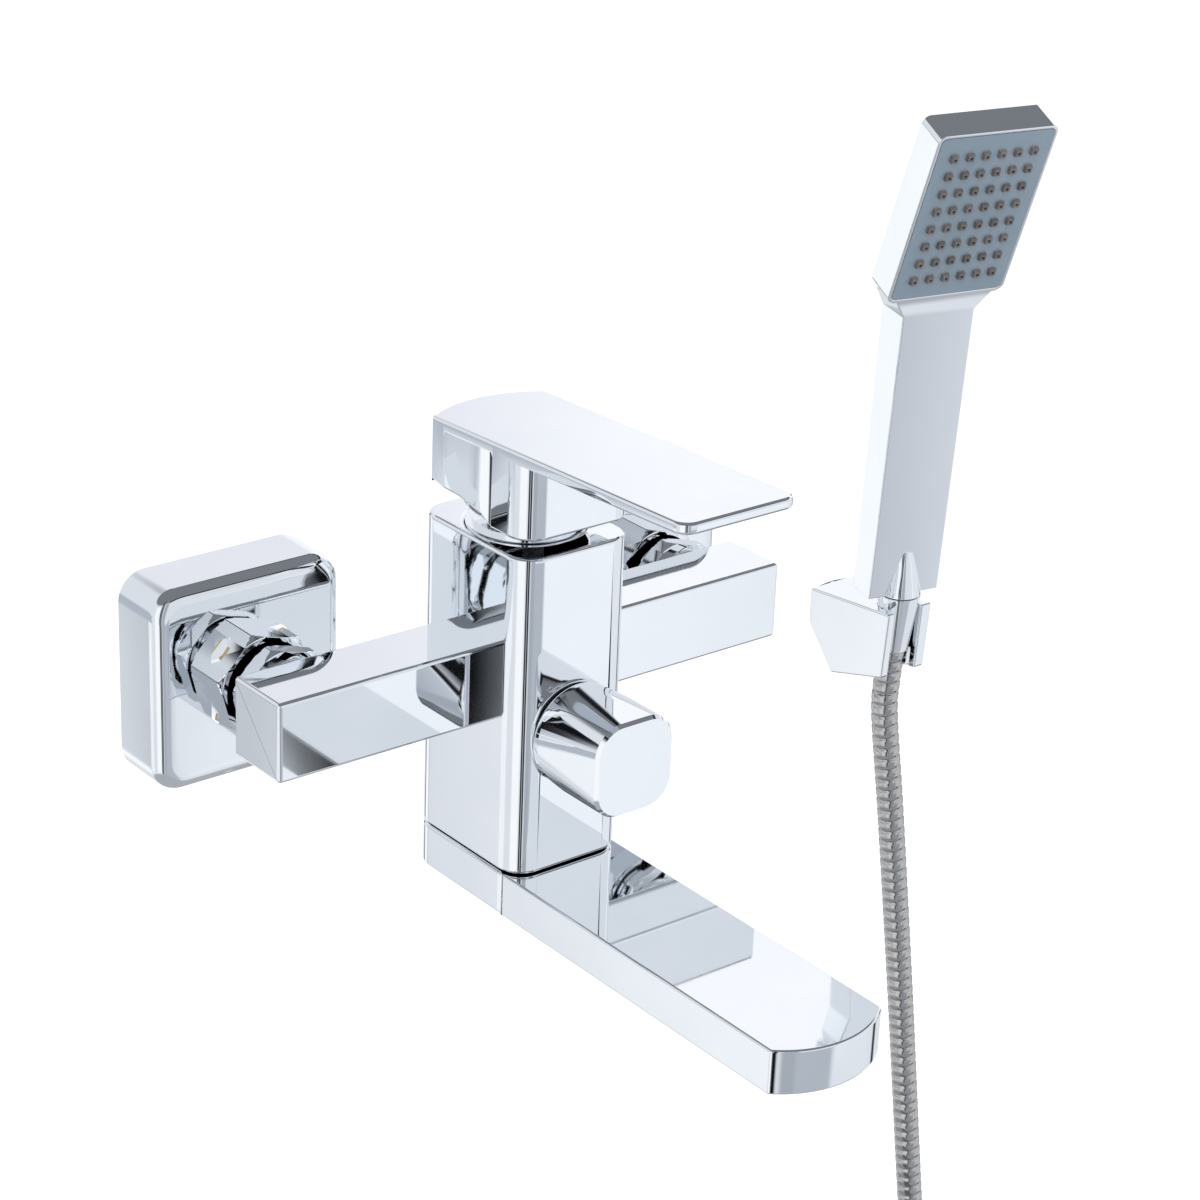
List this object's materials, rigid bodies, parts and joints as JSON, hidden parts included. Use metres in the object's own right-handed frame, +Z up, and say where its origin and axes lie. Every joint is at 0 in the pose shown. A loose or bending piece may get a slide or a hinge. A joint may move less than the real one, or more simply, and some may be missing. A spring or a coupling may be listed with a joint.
{
  "type": "wall mounted bath mixer",
  "caption": "Wall mounted bath and shower mixer with a flat lever on top, a diverter knob, a swivelling spout, and a hand shower with its hose in a wall bracket.",
  "frame": {"origin": "on the wall's face, midway between the two inlets", "axes": "+X along the wall to the right as seen from the front, +Y into the wall, +Z up"},
  "size_m": [0.3597, 0.227, 0.5877],
  "materials": {
    "chrome": "polished",
    "brass": "machined",
    "steel": "plain",
    "rubber": "matte",
    "ceramic": "lapped",
    "white_plastic": "moulded",
    "blue_plastic": "moulded",
    "dark_plastic": "moulded",
    "plug": "gloss",
    "insert": "moulded",
    "face": "gloss",
    "nozzles": "satin",
    "hose": "wound strip",
    "tie": "moulded"
  },
  "bodies": {
    "fixture": {"mixer_body": "chrome", "cover_left": "chrome", "cover_right": "chrome", "union_left": "brass", "union_right": "brass", "swivel_nut_left": "chrome", "swivel_nut_right": "chrome", "inlet_tail_left": "chrome", "inlet_tail_right": "chrome", "union_washers": "rubber", "cartridge_seal": "rubber", "cartridge_housing": "white_plastic", "fixed_disc": "ceramic", "cartridge_nut": "chrome", "diverter_housing": "brass", "diverter_collar": "dark_plastic", "spout_screw": "steel", "outlet_nipple": "chrome", "bracket_plate": "steel", "bracket_holder": "chrome"},
    "lever_base": {"turret": "white_plastic", "stem_pin": "steel"},
    "lever_arm": {"lever": "chrome", "lever_stem": "steel", "lever_screw": "steel", "lever_plug": "plug"},
    "disc": {"moving_disc": "ceramic", "disc_carrier": "blue_plastic"},
    "diverter": {"diverter_rotor": "white_plastic", "diverter_knob": "chrome", "knob_screw": "steel"},
    "spout": {"spout_hub": "chrome", "spout_arm": "chrome", "spout_rings": "rubber", "aerator_housing": "chrome", "aerator_insert": "insert", "aerator_washer": "rubber"},
    "handset": {"handset_shell": "chrome", "handset_face": "face", "nozzle_mat": "nozzles", "handset_tail": "brass", "hose_washer": "rubber", "hose_cone_nut": "chrome", "hose_run": "hose", "hose_coil": "hose", "coil_tie": "tie", "hose_end_nut": "chrome", "hose_end_ring": "chrome"}
  },
  "joints": [
    {"name": "lever_turn", "type": "hinge", "parent": "fixture", "child": "lever_base", "pos_m": [0, -0.0565, 0.032], "axis": [0, 0, 1], "range_deg": [-45, 45]},
    {"name": "lever_lift", "type": "hinge", "parent": "lever_base", "child": "lever_arm", "pos_m": [0, -0.0565, 0.032], "axis": [-1, 0, 0], "range_deg": [0, 20]},
    {"name": "disc_slide", "type": "slide", "parent": "lever_base", "child": "disc", "axis": [0, -1, 0], "range_m": [0, 0.00315]},
    {"name": "diverter_turn", "type": "hinge", "parent": "fixture", "child": "diverter", "pos_m": [0, -0.083, -0.0143], "axis": [0, 1, 0], "range_deg": [0, 90]},
    {"name": "spout_swivel", "type": "hinge", "parent": "fixture", "child": "spout", "pos_m": [0, -0.0565, -0.0593], "axis": [0, 0, 1], "range_deg": [-90, 90]},
    {"name": "handset_lift", "type": "slide", "parent": "fixture", "child": "handset", "axis": [-0.0156, -0.0751, 0.9971], "range_m": [0, 0.022]}
  ],
  "couplings": [
    {"joint": "disc_slide", "follows": "lever_lift", "m_per_rad": 0.009}
  ]
}
